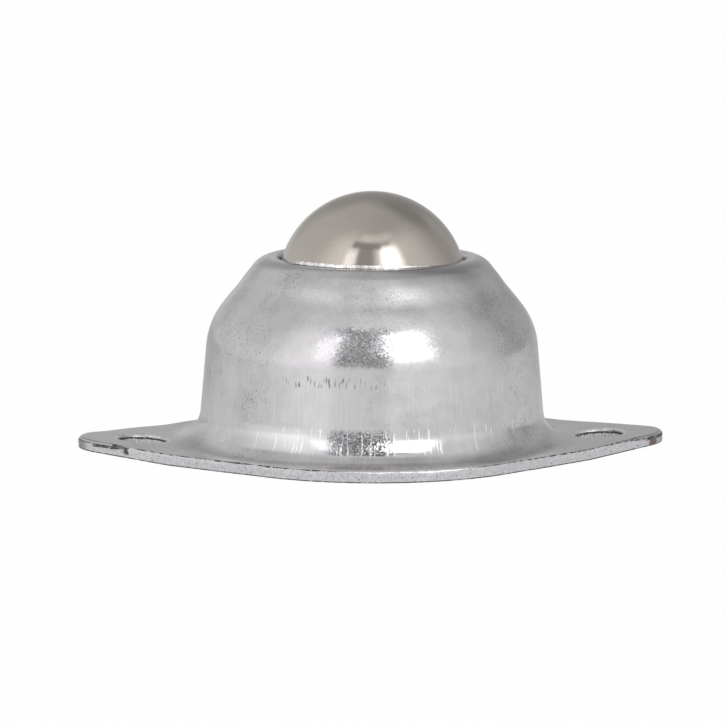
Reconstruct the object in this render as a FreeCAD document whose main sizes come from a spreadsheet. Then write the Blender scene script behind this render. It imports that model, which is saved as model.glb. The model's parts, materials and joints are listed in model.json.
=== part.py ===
"""Flange-mounted ball transfer unit: a pressed dome that holds a load ball on a bed of bearing balls.

Millimetres. The origin is the middle of the mounting face, X runs along the two bolt holes, Z is up.
"""
import FreeCAD
import Part
import Sketcher

import math
import os

DRIVING_SIZES = {
    "ball_diameter": 25.4,
    "bearing_diameter": 6.35,
    "ball_clearance": 0.08,
    "bed_spacing": 0.25,
    "bed_top_angle": 62,
    "cup_wall": 1.2,
    "cup_foot_depth": 0.4,
    "cup_foot_radius": 5.5,
    "cup_rim_drop": 7.9,
    "cup_rim_clearance": 0.12,
    "cup_side_gap": 1.7,
    "drain_diameter": 5,
    "cover_thickness": 1.4,
    "cover_height": 8,
    "cover_bend": 1.5,
    "cover_fit": 0.05,
    "sheet_thickness": 1.5,
    "wall_draft": 5,
    "shoulder_drop": 5.5,
    "shoulder_bend": 8.7,
    "lip_rise": 3.95,
    "lip_clearance": 0.17,
    "crown_width": 1.75,
    "crown_bend": 1.5,
    "base_bend": 4.2,
    "front_trim": 0.3,
    "fold_land": 0.2,
    "arm_angle": 3.4,
    "arm_bend": 20,
    "hole_reach": 2.83,
    "hole_diameter": 6.5,
    "tip_margin": 8.68,
    "tip_radius": 5.2,
    "side_radius": 26,
    "trim_stock": 4,
    "edge_round": 0.25,
}

DERIVED_SIZES = {
    "ball_radius": "ball_diameter / 2",
    "bed_radius": "ball_radius + ball_clearance + bearing_diameter / 2",
    "cup_inner_radius": "ball_radius + bearing_diameter + 2 * ball_clearance",
    "cup_outer_radius": "cup_inner_radius + cup_wall",
    "ball_height": "cover_thickness + cup_foot_depth + cup_outer_radius",
    "wall_radius": "cup_outer_radius + cup_side_gap",
    "wall_slope": "tan(wall_draft)",
    "shoulder_height": "ball_height - shoulder_drop",
    "shoulder_radius": "wall_radius - shoulder_height * wall_slope",
    "lip_height": "ball_height + lip_rise",
    "lip_underside": "lip_height - sheet_thickness",
    "lip_radius": "sqrt(ball_radius ^ 2 - (lip_underside - ball_height) ^ 2) + lip_clearance",
    "crown_radius": "lip_radius + crown_width",
    "rim_height": "ball_height - cup_rim_drop",
    "rim_underside": "rim_height - cup_wall",
    "rim_radius": "wall_radius - rim_height * wall_slope - cup_rim_clearance",
    "cover_base_radius": "wall_radius - cover_fit",
    "cover_rim_radius": "cover_base_radius - cover_height * wall_slope",
    "drain_radius": "drain_diameter / 2",
    "mouth_radius": "wall_radius + sheet_thickness / 2",
    "bend_end": "wall_radius + (base_bend + sheet_thickness) * tan(45 - wall_draft / 2)",
    "half_width": "bend_end - front_trim",
    "fold_line": "bend_end + fold_land + (arm_bend + sheet_thickness) * tan(arm_angle / 2)",
    "hole_offset": "fold_line + hole_reach",
    "hole_radius": "hole_diameter / 2",
    "half_length": "hole_offset + tip_margin",
    "stock_length": "half_length + trim_stock",
    "stock_width": "half_width + trim_stock",
    "frame_length": "stock_length + trim_stock",
    "frame_width": "stock_width + trim_stock",
    "tip_centre": "half_length - tip_radius",
    "side_centre": "half_width - side_radius",
}

START, END, CENTRE = range(1, 4)
ACROSS_AXIS, UP_AXIS = range(-1, -3, -1)
ORIGIN = (ACROSS_AXIS, START)
UPWARDS = FreeCAD.Vector(0, 0, 1)
EDGE_TOLERANCE = 0.01

doc = FreeCAD.newDocument("BallTransferUnit")
sheet = doc.addObject("Spreadsheet::Sheet", "Sizes")


def fill_sheet():
    """Driving sizes as plain numbers, then the sizes that follow from them."""
    cells = {alias: str(value) for alias, value in DRIVING_SIZES.items()}
    cells.update({alias: "=" + formula for alias, formula in DERIVED_SIZES.items()})
    for row, alias in enumerate(cells, start=1):
        sheet.set(f"A{row}", alias)
        sheet.setAlias(f"B{row}", alias)
        sheet.set(f"B{row}", cells[alias])
    doc.recompute()


def size(alias):
    return float(sheet.get(alias))


def new_body(label):
    body = doc.addObject("PartDesign::Body", label)
    body.Label = label
    return body


def origin_plane(body, role):
    return next(item for item in body.Origin.OriginFeatures if item.Role == role)


def new_sketch(body, plane_role, name):
    """An empty sketch on one of the body's own origin planes."""
    sketch = body.newObject("Sketcher::SketchObject", name)
    sketch.AttachmentSupport = (origin_plane(body, plane_role), [""])
    sketch.MapMode = "FlatFace"
    return sketch


def vector(x, y):
    return FreeCAD.Vector(x, y, 0)


def join_ends(sketch, ends):
    """Closes a loop: each (geometry, end) meets the (geometry, end) beside it."""
    for first, second in ends:
        sketch.addConstraint(Sketcher.Constraint("Coincident", *first, *second))


def add_polygon(sketch, corners):
    """Straight lines round the corners, joined end to end. Line number n starts at corner number n."""
    following = corners[1:] + corners[:1]
    lines = [
        sketch.addGeometry(Part.LineSegment(vector(*here), vector(*there)))
        for here, there in zip(corners, following)
    ]
    nexts = lines[1:] + lines[:1]
    join_ends(sketch, [((line, END), (after, START)) for line, after in zip(lines, nexts)])
    return lines


def rule(sketch, kind, *items):
    sketch.addConstraint(Sketcher.Constraint(kind, *items))


def dimension(sketch, kind, items, alias):
    """A dimension whose value is read from the sheet."""
    angle = kind == "Angle"
    value = math.radians(size(alias)) if angle else size(alias)
    index = sketch.addConstraint(Sketcher.Constraint(kind, *items, value))
    sketch.setExpression(f"Constraints[{index}]", f"Sizes.{alias} * 1 deg" if angle else f"Sizes.{alias}")


def place_point(sketch, geometry, end, across, up):
    """Dimensions a point from the origin, across and up the sketch."""
    dimension(sketch, "DistanceX", (geometry, end), across)
    dimension(sketch, "DistanceY", (geometry, end), up)


def revolve(body, sketch, name):
    feature = body.newObject("PartDesign::Revolution", name)
    feature.Profile = sketch
    feature.ReferenceAxis = (sketch, ["V_Axis"])
    feature.Angle = 360
    doc.recompute()
    return feature


def cut_upwards(body, sketch, name):
    """A pocket from the mounting face up through everything, which has to take material away."""
    before = body.Shape.Volume
    pocket = body.newObject("PartDesign::Pocket", name)
    pocket.Profile = sketch
    pocket.Type = "ThroughAll"
    pocket.Reversed = True
    doc.recompute()
    if body.Shape.Volume >= before:
        raise RuntimeError(f"{name} cut nothing")
    return pocket


def round_edges(body, name, edges, formula):
    base = body.Tip
    fillet = body.newObject("PartDesign::Fillet", name)
    fillet.Base = (base, edges)
    fillet.setExpression("Radius", formula)
    doc.recompute()
    return fillet


def ring_edges(body, corner):
    """Names of the circular edges that a corner of the section makes when it is turned about the axis."""
    centre = FreeCAD.Vector(0, 0, corner.y)
    found = [
        f"Edge{number}"
        for number, edge in enumerate(body.Shape.Edges, start=1)
        if isinstance(edge.Curve, Part.Circle)
        and abs(edge.Curve.Radius - corner.x) < EDGE_TOLERANCE
        and edge.Curve.Center.distanceToPoint(centre) < EDGE_TOLERANCE
    ]
    if not found:
        raise RuntimeError(f"no ring edge of radius {corner.x:.2f} at height {corner.y:.2f}")
    return found


def add_line(sketch, first, second):
    return sketch.addGeometry(Part.LineSegment(first, second))


def add_arc(sketch, centre, radius, start, end):
    """An arc that runs anticlockwise from one angle to another, in radians."""
    return sketch.addGeometry(Part.ArcOfCircle(Part.Circle(centre, UPWARDS, radius), start, end))


def add_sheet_blank(body):
    """The flange's sheet before trimming: flat in the middle, with both arms bent up a little."""
    section = new_sketch(body, "XZ_Plane", "FlangeSection")
    stock, fold, thick = size("stock_length"), size("fold_line"), size("sheet_thickness")
    angle, bend = math.radians(size("arm_angle")), size("arm_bend")
    centre = vector(fold - (bend + thick) * math.tan(angle / 2), bend + thick)
    down = -math.pi / 2
    fold_under = add_arc(section, centre, bend + thick, down, down + angle)
    fold_top = add_arc(section, centre, bend, down, down + angle)
    tip = vector(stock, (stock - fold) * math.tan(angle))
    tip_top = tip + vector(0, thick)

    flat_under = add_line(section, vector(0, 0), section.getPoint(fold_under, START))
    arm_under = add_line(section, section.getPoint(fold_under, END), tip)
    arm_end = add_line(section, tip, tip_top)
    arm_top = add_line(section, tip_top, section.getPoint(fold_top, END))
    flat_top = add_line(section, section.getPoint(fold_top, START), vector(0, thick))
    middle = add_line(section, vector(0, thick), vector(0, 0))
    corner = section.addGeometry(Part.Point(vector(fold, 0)), True)
    join_ends(section, [
        ((arm_under, END), (arm_end, START)), ((arm_end, END), (arm_top, START)),
        ((flat_top, END), (middle, START)), ((middle, END), (flat_under, START)),
        ((fold_top, CENTRE), (fold_under, CENTRE)), ((flat_under, START), ORIGIN),
    ])
    for line, line_end, arc, arc_end in (
        (flat_under, END, fold_under, START), (arm_under, START, fold_under, END),
        (arm_top, END, fold_top, END), (flat_top, START, fold_top, START),
    ):
        rule(section, "Tangent", line, line_end, arc, arc_end)
    for flat in (flat_under, flat_top):
        rule(section, "Horizontal", flat)
    for upright in (middle, arm_end):
        rule(section, "Vertical", upright)
    rule(section, "Parallel", arm_top, arm_under)
    rule(section, "PointOnObject", corner, START, flat_under)
    rule(section, "PointOnObject", corner, START, arm_under)
    dimension(section, "DistanceX", (corner, START), "fold_line")
    dimension(section, "DistanceX", (arm_end, START), "stock_length")
    dimension(section, "DistanceY", (flat_top, END), "sheet_thickness")
    dimension(section, "Radius", (fold_top,), "arm_bend")
    dimension(section, "Angle", (arm_under,), "arm_angle")
    blank = body.newObject("PartDesign::Pad", "FlangeBlank")
    blank.Profile = section
    blank.SideType = "Symmetric"
    blank.setExpression("Length", "2 * Sizes.stock_width")
    doc.recompute()
    mirrored = body.newObject("PartDesign::Mirrored", "FlangeBlankMirrored")
    mirrored.Originals = [blank]
    mirrored.MirrorPlane = (origin_plane(body, "YZ_Plane"), [""])
    body.Tip = mirrored
    doc.recompute()

    mouth = new_sketch(body, "XY_Plane", "MouthOutline")
    circle = mouth.addGeometry(Part.Circle(vector(0, 0), UPWARDS, size("mouth_radius")))
    rule(mouth, "Coincident", circle, CENTRE, *ORIGIN)
    dimension(mouth, "Radius", (circle,), "mouth_radius")
    cut_upwards(body, mouth, "Mouth")


def add_dome(body):
    """The drawn dome: drafted wall, cone and flat crown of one sheet, with every bend rounded."""
    section = new_sketch(body, "XZ_Plane", "DomeSection")
    thick, bend = size("sheet_thickness"), size("shoulder_bend")
    foot_in, foot_out = vector(size("wall_radius"), 0), vector(size("wall_radius") + thick, 0)
    shoulder = vector(size("shoulder_radius"), size("shoulder_height"))
    crown = vector(size("crown_radius"), size("lip_underside"))
    lip_under = vector(size("lip_radius"), size("lip_underside"))
    lip_top, crown_top = lip_under + vector(0, thick), crown + vector(thick / 2, thick)
    draft = math.radians(size("wall_draft"))
    lean = math.atan2(shoulder.x - crown.x, crown.y - shoulder.y)
    centre = shoulder - vector(math.cos((draft + lean) / 2), math.sin((draft + lean) / 2)) * bend

    bend_in = add_arc(section, centre, bend, draft, lean)
    bend_out = add_arc(section, centre, bend + thick, draft, lean)
    wall_in = add_line(section, foot_in, section.getPoint(bend_in, START))
    cone_in = add_line(section, section.getPoint(bend_in, END), crown)
    crown_in = add_line(section, crown, lip_under)
    opening = add_line(section, lip_under, lip_top)
    crown_out = add_line(section, lip_top, crown_top)
    cone_out = add_line(section, crown_top, section.getPoint(bend_out, END))
    wall_out = add_line(section, section.getPoint(bend_out, START), foot_out)
    foot = add_line(section, foot_out, foot_in)
    corner = section.addGeometry(Part.Point(shoulder), True)
    join_ends(section, [
        ((cone_in, END), (crown_in, START)), ((crown_in, END), (opening, START)),
        ((opening, END), (crown_out, START)), ((crown_out, END), (cone_out, START)),
        ((wall_out, END), (foot, START)), ((foot, END), (wall_in, START)),
        ((bend_in, CENTRE), (bend_out, CENTRE)),
    ])
    for line, line_end, arc, arc_end in (
        (wall_in, END, bend_in, START), (cone_in, START, bend_in, END),
        (cone_out, END, bend_out, END), (wall_out, START, bend_out, START),
    ):
        rule(section, "Tangent", line, line_end, arc, arc_end)
    for flat in (crown_in, crown_out, foot):
        rule(section, "Horizontal", flat)
    rule(section, "Vertical", opening)
    rule(section, "Parallel", wall_in, wall_out)
    rule(section, "Parallel", cone_in, cone_out)
    rule(section, "PointOnObject", wall_in, START, ACROSS_AXIS)
    rule(section, "PointOnObject", corner, START, wall_in)
    rule(section, "PointOnObject", corner, START, cone_in)
    place_point(section, corner, START, "shoulder_radius", "shoulder_height")
    place_point(section, crown_in, START, "crown_radius", "lip_underside")
    dimension(section, "DistanceX", (wall_in, START), "wall_radius")
    dimension(section, "DistanceX", (opening, START), "lip_radius")
    dimension(section, "Radius", (bend_in,), "shoulder_bend")
    dimension(section, "Distance", (wall_out, START, wall_in), "sheet_thickness")
    dimension(section, "Distance", (crown_out, START, crown_in), "sheet_thickness")
    revolve(body, section, "Dome")

    wall_foot = section.getPoint(wall_out, END)
    bends = {
        "CrownInside": (section.getPoint(crown_in, START), "Sizes.crown_bend"),
        "CrownOutside": (section.getPoint(cone_out, START), "Sizes.crown_bend + Sizes.sheet_thickness"),
        "BaseInside": (section.getPoint(wall_in, START), "Sizes.base_bend + Sizes.sheet_thickness"),
        "BaseOutside": (wall_foot + vector(-thick * size("wall_slope"), thick), "Sizes.base_bend"),
        "LipEdge": (section.getPoint(opening, END), "Sizes.edge_round"),
    }
    for name, (place, formula) in bends.items():
        round_edges(body, name, ring_edges(body, place), formula)


def trim_flange(body):
    """Trims the sheet to its diamond: two tips and two broad sides, joined by tangent straight edges."""
    trim = new_sketch(body, "XY_Plane", "FlangeOutline")
    frame_x, frame_y = size("frame_length"), size("frame_width")
    frame = add_polygon(trim, [
        (-frame_x, -frame_y), (frame_x, -frame_y), (frame_x, frame_y), (-frame_x, frame_y),
    ])
    for line, kind in zip(frame, ("Horizontal", "Vertical", "Horizontal", "Vertical")):
        rule(trim, kind, line)
    rule(trim, "Symmetric", frame[0], START, frame[2], START, *ORIGIN)
    place_point(trim, frame[2], START, "frame_length", "frame_width")

    tip, side = size("tip_centre"), size("side_centre")
    tip_radius, side_radius = size("tip_radius"), size("side_radius")
    lean = math.asin((side_radius - tip_radius) / math.hypot(tip, side)) + math.atan2(side, tip)
    turn = math.pi / 2 - lean
    rounds = [
        ((tip, 0), tip_radius, -turn, turn),
        ((0, side), side_radius, turn, math.pi - turn),
        ((-tip, 0), tip_radius, math.pi - turn, math.pi + turn),
        ((0, -side), side_radius, math.pi + turn, 2 * math.pi - turn),
    ]
    arcs = [add_arc(trim, vector(*centre), radius, start, end) for centre, radius, start, end in rounds]
    for arc, after in zip(arcs, arcs[1:] + arcs[:1]):
        edge = add_line(trim, trim.getPoint(arc, END), trim.getPoint(after, START))
        rule(trim, "Tangent", arc, END, edge, START)
        rule(trim, "Tangent", edge, END, after, START)
    right, back, left, front = arcs
    rule(trim, "PointOnObject", right, CENTRE, ACROSS_AXIS)
    rule(trim, "PointOnObject", back, CENTRE, UP_AXIS)
    rule(trim, "Symmetric", right, CENTRE, left, CENTRE, *ORIGIN)
    rule(trim, "Symmetric", back, CENTRE, front, CENTRE, *ORIGIN)
    rule(trim, "Equal", right, left)
    rule(trim, "Equal", back, front)
    dimension(trim, "Radius", (right,), "tip_radius")
    dimension(trim, "Radius", (back,), "side_radius")
    dimension(trim, "DistanceX", (right, CENTRE), "tip_centre")
    dimension(trim, "DistanceY", (back, CENTRE), "side_centre")
    cut_upwards(body, trim, "FlangeTrim")


def punch_holes(body):
    """The two bolt holes, one in each arm."""
    punch = new_sketch(body, "XY_Plane", "HoleCentres")
    offset, radius = size("hole_offset"), size("hole_radius")
    right, left = (
        punch.addGeometry(Part.Circle(vector(across, 0), UPWARDS, radius)) for across in (offset, -offset)
    )
    rule(punch, "PointOnObject", right, CENTRE, ACROSS_AXIS)
    rule(punch, "Symmetric", right, CENTRE, left, CENTRE, *ORIGIN)
    rule(punch, "Equal", right, left)
    dimension(punch, "DistanceX", (right, CENTRE), "hole_offset")
    dimension(punch, "Radius", (right,), "hole_radius")
    cut_upwards(body, punch, "BoltHoles")


def make_housing():
    body = new_body("housing")
    add_sheet_blank(body)
    add_dome(body)
    trim_flange(body)
    punch_holes(body)
    return body


def make_bearing_cup():
    """The hardened bowl under the bearing balls: a flat foot with a drain, and a rim that centres it."""
    body = new_body("bearing_cup")
    section = new_sketch(body, "XZ_Plane", "CupSection")
    drain, foot, rim = size("drain_radius"), size("cup_foot_radius"), size("rim_radius")
    base_z, centre_z = size("cover_thickness"), size("ball_height")
    rim_z, under_z = size("rim_height"), size("rim_underside")
    inner, outer = size("cup_inner_radius"), size("cup_outer_radius")

    def bowl_angle(radius, across=None, height=None):
        """Angle round the bowl's section of the point at this distance across, or at this height."""
        if across is not None:
            return -math.acos(across / radius)
        return math.asin((height - centre_z) / radius)

    centre = vector(0, centre_z)
    outer_ends = bowl_angle(outer, across=foot), bowl_angle(outer, height=under_z)
    inner_ends = bowl_angle(inner, across=drain), bowl_angle(inner, height=rim_z)
    bowl_out = add_arc(section, centre, outer, *outer_ends)
    bowl_in = add_arc(section, centre, inner, *inner_ends)
    foot_face = add_line(section, vector(drain, base_z), vector(foot, base_z))
    foot_side = add_line(section, vector(foot, base_z), section.getPoint(bowl_out, START))
    rim_under = add_line(section, section.getPoint(bowl_out, END), vector(rim, under_z))
    rim_edge = add_line(section, vector(rim, under_z), vector(rim, rim_z))
    rim_top = add_line(section, vector(rim, rim_z), section.getPoint(bowl_in, END))
    drain_wall = add_line(section, section.getPoint(bowl_in, START), vector(drain, base_z))
    join_ends(section, [
        ((foot_face, END), (foot_side, START)), ((foot_side, END), (bowl_out, START)),
        ((bowl_out, END), (rim_under, START)), ((rim_under, END), (rim_edge, START)),
        ((rim_edge, END), (rim_top, START)), ((rim_top, END), (bowl_in, END)),
        ((bowl_in, START), (drain_wall, START)), ((drain_wall, END), (foot_face, START)),
        ((bowl_in, CENTRE), (bowl_out, CENTRE)),
    ])
    for flat in (foot_face, rim_under, rim_top):
        rule(section, "Horizontal", flat)
    for upright in (foot_side, rim_edge, drain_wall):
        rule(section, "Vertical", upright)
    rule(section, "PointOnObject", bowl_in, CENTRE, UP_AXIS)
    dimension(section, "DistanceY", (bowl_in, CENTRE), "ball_height")
    dimension(section, "Radius", (bowl_in,), "cup_inner_radius")
    dimension(section, "Radius", (bowl_out,), "cup_outer_radius")
    place_point(section, foot_face, START, "drain_radius", "cover_thickness")
    dimension(section, "DistanceX", (foot_face, END), "cup_foot_radius")
    place_point(section, rim_edge, END, "rim_radius", "rim_height")
    dimension(section, "DistanceY", (rim_edge, START), "rim_underside")
    revolve(body, section, "Bowl")
    return body


def make_base_cover():
    """The pressed pan that closes the mouth: a flat floor with a drain, and a rim pushed into the wall."""
    body = new_body("base_cover")
    section = new_sketch(body, "XZ_Plane", "CoverSection")
    drain, base = size("drain_radius"), size("cover_base_radius")
    rim, rim_z = size("cover_rim_radius"), size("cover_height")
    thick = size("cover_thickness")
    floor_under, wall_out, rim_top, wall_in, floor_top, drain_wall = add_polygon(section, [
        (drain, 0), (base, 0), (rim, rim_z), (rim - thick, rim_z), (base - thick, thick), (drain, thick),
    ])
    rule(section, "PointOnObject", floor_under, START, ACROSS_AXIS)
    dimension(section, "DistanceX", (floor_under, START), "drain_radius")
    rule(section, "PointOnObject", wall_out, START, ACROSS_AXIS)
    dimension(section, "DistanceX", (wall_out, START), "cover_base_radius")
    place_point(section, rim_top, START, "cover_rim_radius", "cover_height")
    rule(section, "Horizontal", rim_top)
    rule(section, "Horizontal", floor_top)
    rule(section, "Vertical", drain_wall)
    rule(section, "Parallel", wall_in, wall_out)
    dimension(section, "Distance", (wall_in, START, wall_out), "cover_thickness")
    dimension(section, "DistanceY", (floor_top, START), "cover_thickness")
    revolve(body, section, "Pan")
    inside, outside = section.getPoint(floor_top, START), section.getPoint(wall_out, START)
    round_edges(body, "PanInside", ring_edges(body, inside), "Sizes.cover_bend")
    round_edges(body, "PanOutside", ring_edges(body, outside), "Sizes.cover_bend + Sizes.cover_thickness")
    return body


def make_load_ball():
    ball = doc.addObject("Part::Sphere", "load_ball")
    ball.Label = "load_ball"
    ball.setExpression("Radius", "Sizes.ball_radius")
    ball.setExpression("Placement.Base.z", "Sizes.ball_height")
    return ball


def bed_rings():
    """Each ring of the bed, from the rim down: its angle from straight down, and how many balls it takes."""
    pitch = size("bearing_diameter") + size("bed_spacing")
    bed = size("bed_radius")
    step = 2 * math.asin(pitch / (2 * bed))
    angle = math.radians(size("bed_top_angle"))
    rings = []
    while 2 * bed * math.sin(angle) > pitch:
        rings.append((math.degrees(angle), int(math.pi / math.asin(pitch / (2 * bed * math.sin(angle))))))
        angle -= step
    return rings


def make_bearing_balls():
    """The bed of loose balls between the cup and the load ball, in rings that fit side by side."""
    balls = []
    for angle, count in bed_rings():
        for place in range(count):
            ball = doc.addObject("Part::Sphere", f"bearing_ball_{len(balls) + 1:02d}")
            ball.Label = ball.Name
            ball.setExpression("Radius", "Sizes.bearing_diameter / 2")
            reach = f"Sizes.bed_radius * sin({angle:.6f})"
            turn = 360 * place / count
            ball.setExpression("Placement.Base.x", f"{reach} * cos({turn:.6f})")
            ball.setExpression("Placement.Base.y", f"{reach} * sin({turn:.6f})")
            ball.setExpression("Placement.Base.z", f"Sizes.ball_height - Sizes.bed_radius * cos({angle:.6f})")
            balls.append(ball)
    return balls


def export(pieces):
    """Writes each piece, once the whole document is sound."""
    doc.recompute()
    for item in doc.Objects:
        if "Invalid" in item.State or "Error" in item.State:
            raise RuntimeError(f"{item.Label} failed: {item.State}")
    os.makedirs("parts", exist_ok=True)
    for piece in pieces:
        if piece.Shape.isNull() or not piece.Shape.isValid():
            raise RuntimeError(f"{piece.Label} has no valid shape")
        piece.Shape.exportStep(f"parts/{piece.Label}.step")
        print(f"{piece.Label}: {piece.Shape.Volume:.1f} mm3")


fill_sheet()
export([make_housing(), make_load_ball(), make_bearing_cup(), make_base_cover(), *make_bearing_balls()])
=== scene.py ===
# %% [markdown]
# # A ball transfer unit, dressed for the camera
# A polished ball sits in the crown of a pressed dome and rolls on a bed of small balls, so that a load can be
# pushed over it in any direction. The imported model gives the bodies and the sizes, and this file the shapes
# and finishes that the eye sees. Each piece keeps to the solid that it stands for. Only a burr on the crown's
# lip stands up from it, by less than a millimetre.

import json
import math

import bmesh
import bpy
from mathutils import Matrix, Quaternion, Vector, noise


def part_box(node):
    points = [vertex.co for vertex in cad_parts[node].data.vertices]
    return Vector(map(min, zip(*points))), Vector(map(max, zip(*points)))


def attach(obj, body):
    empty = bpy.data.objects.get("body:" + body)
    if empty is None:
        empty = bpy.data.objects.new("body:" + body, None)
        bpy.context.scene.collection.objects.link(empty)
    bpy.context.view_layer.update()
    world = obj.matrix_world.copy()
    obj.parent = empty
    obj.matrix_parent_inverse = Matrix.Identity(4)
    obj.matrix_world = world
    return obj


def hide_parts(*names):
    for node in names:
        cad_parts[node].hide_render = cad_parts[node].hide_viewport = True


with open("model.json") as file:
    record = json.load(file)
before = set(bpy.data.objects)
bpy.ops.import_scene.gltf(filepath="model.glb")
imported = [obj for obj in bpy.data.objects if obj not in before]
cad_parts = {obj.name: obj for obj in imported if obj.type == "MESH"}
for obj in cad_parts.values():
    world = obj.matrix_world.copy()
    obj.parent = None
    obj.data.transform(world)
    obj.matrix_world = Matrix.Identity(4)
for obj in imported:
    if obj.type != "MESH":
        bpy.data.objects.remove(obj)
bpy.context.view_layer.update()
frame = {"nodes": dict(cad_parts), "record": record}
MM = 0.001

# %% [markdown]
# ## Sizes
# Lengths stay in millimetres until a mesh is written. The reach of the sheet, the ball and the holes are read
# from the frame. The bends and the draft can't be read from a box, so they are named here once, and every
# other point of the sheet is worked out from them.

# %% sizes of the pressed sheet, in millimetres
def box_mm(node):
    low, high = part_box(node)
    return low / MM, high / MM


HALF_LENGTH, HALF_WIDTH, LIP_HEIGHT = box_mm("housing")[1]
ball_low, ball_high = box_mm("load_ball")
BALL_RADIUS = (ball_high.z - ball_low.z) / 2
BALL_HEIGHT = (ball_high.z + ball_low.z) / 2
bolt_holes = next(mount for mount in frame["record"]["mounts"] if mount["kind"] == "bolt_pattern")

SHEET = 1.5
WALL_RADIUS = 22.11
WALL_DRAFT = math.radians(5)
BASE_BEND = 5.7
SHOULDER_DROP = 5.5
SHOULDER_BEND = 8.7
CROWN_WIDTH = 1.75
CROWN_BEND = 1.5
LIP_CLEARANCE = 0.17
LIP_ROUND = 0.25
LAND_RADIUS = WALL_RADIUS + BASE_BEND / math.tan((math.pi / 2 + WALL_DRAFT) / 2)
LIP_UNDER = LIP_HEIGHT - SHEET
LIP_RADIUS = math.sqrt(BALL_RADIUS ** 2 - (LIP_UNDER - BALL_HEIGHT) ** 2) + LIP_CLEARANCE
print(f"ball radius {BALL_RADIUS:.2f}, ball height {BALL_HEIGHT:.2f}, land radius {LAND_RADIUS:.2f}")
print("bolt pattern:", bolt_holes["dims"])

# %% [markdown]
# ## Camera
# The photograph was taken a little from above with a long lens, which keeps the dome's sides nearly straight
# up. A short one would make the ball loom over the flange. The camera looks at the point in the middle of the
# picture, so no lens shift is needed.

# %% camera
CAMERA_DISTANCE = 600
CAMERA_ELEVATION = math.radians(8.2)
CAMERA_AZIMUTH = math.radians(-5.15)
CAMERA_ROLL = math.radians(0.15)
CAMERA_LENS = 221.4
ORBIT_CENTRE = Vector((0, 0, 18))
AIM_ASIDE = -1.35
AIM_BELOW = -6.18

camera = bpy.data.objects.new("camera", bpy.data.cameras.new("camera"))
bpy.context.scene.collection.objects.link(camera)
bpy.context.scene.camera = camera
level = Vector((math.sin(CAMERA_AZIMUTH), -math.cos(CAMERA_AZIMUTH), 0))
towards_camera = level * math.cos(CAMERA_ELEVATION) + Vector((0, 0, math.sin(CAMERA_ELEVATION)))
aside = Vector((0, 0, 1)).cross(level).normalized()
upright = towards_camera.cross(aside)
aim = ORBIT_CENTRE + aside * AIM_ASIDE + upright * AIM_BELOW
camera.location = (ORBIT_CENTRE + towards_camera * CAMERA_DISTANCE) * MM
sight = (aim * MM - camera.location).to_track_quat("-Z", "Y")
camera.rotation_euler = (sight @ Quaternion((0, 0, 1), CAMERA_ROLL)).to_euler()
camera.data.lens = CAMERA_LENS
camera.data.clip_start, camera.data.clip_end = 0.01, 20
print("camera at", [round(value, 4) for value in camera.location])

# %% [markdown]
# ## Node trees
# Materials and Geometry Nodes are both trees of nodes, and both grow long when each node takes five lines.
# One small function adds a node, sets its properties and either fills its sockets or links them.

# %% a node, a colour, a material
def add(tree, kind, inputs=(), **settings):
    """Adds a node and gives its outputs. Each input is a plain value, or an output that is linked to it.
    A kind that doesn't name its family is a shader node."""
    node = tree.nodes.new(kind if "Node" in kind else "ShaderNode" + kind)
    for name, value in settings.items():
        setattr(node, name, value)
    for key, value in inputs.items() if isinstance(inputs, dict) else enumerate(inputs):
        if isinstance(value, bpy.types.NodeSocket):
            tree.links.new(value, node.inputs[key])
        else:
            node.inputs[key].default_value = value
    return node.outputs


def linear(hex_colour):
    """An sRGB hex colour as the linear values that the shader works with."""
    channels = [int(hex_colour[place:place + 2], 16) / 255 for place in (1, 3, 5)]
    return [c / 12.92 if c <= 0.04045 else ((c + 0.055) / 1.055) ** 2.4 for c in channels] + [1.0]


def new_material(name):
    material = bpy.data.materials.new(name)
    material.use_nodes = True
    material.node_tree.nodes.clear()
    return material, material.node_tree


print("a middle grey in linear light:", round(linear("#808080")[0], 3))

# %% [markdown]
# ## Limits and coats
# The finish of a used part is a stack: a ground, and over it coats that show only in some places. A picture
# of it would fit one side only, so each coat is a colour and its limits: the heights, the turn round the
# axis, or the strength of a pattern between which it shows. A few functions turn such lists into nodes. They
# find the tree in the sockets that they are given.

# %% limits and coats
def within(at, limits):
    """How much of something shows at a point, from 0 to 1: the product of its limits. Four edges are a window
    with soft sides, two are a ramp from none to full, a number is a plain share, True is a mask as it is."""
    tree = next(iter(at.values())).id_data
    parts = []
    for name, edges in limits.items():
        if edges is True:
            parts.append(at[name])
        elif isinstance(edges, float):
            parts.append(edges)
        else:
            soft = len(edges) == 4
            for none, full in (edges[:2], edges[:1:-1]) if soft else (edges,):
                parts.append(add(tree, "MapRange", {
                    "Value": at[name], "From Min": none, "From Max": full},
                    interpolation_type="SMOOTHSTEP" if soft else "LINEAR")[0])
    product = parts[0]
    for part in parts[1:]:
        product = add(tree, "Math", [product, part], operation="MULTIPLY")[0]
    return product


def most(at, choices):
    """The greatest share that any of several sets of limits gives."""
    tree = next(iter(at.values())).id_data
    greatest, *others = [within(at, limits) for limits in choices]
    for other in others:
        greatest = add(tree, "Math", [greatest, other], operation="MAXIMUM")[0]
    return greatest


def layered(at, ground, coats):
    """Lays coats over a ground, one after another, each as far as its limits reach. Colours are hex."""
    tree = next(iter(at.values())).id_data
    if isinstance(ground, str):
        ground = linear(ground)
    for value, limits in coats:
        kind, over = ("RGBA", linear(value)) if isinstance(value, str) else ("FLOAT", value)
        ground = add(tree, "Mix", {
            "Factor": within(at, limits), "A": ground, "B": over}, data_type=kind)["Result"]
    return ground


print("made helpers:", within.__name__, most.__name__, layered.__name__)

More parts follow.
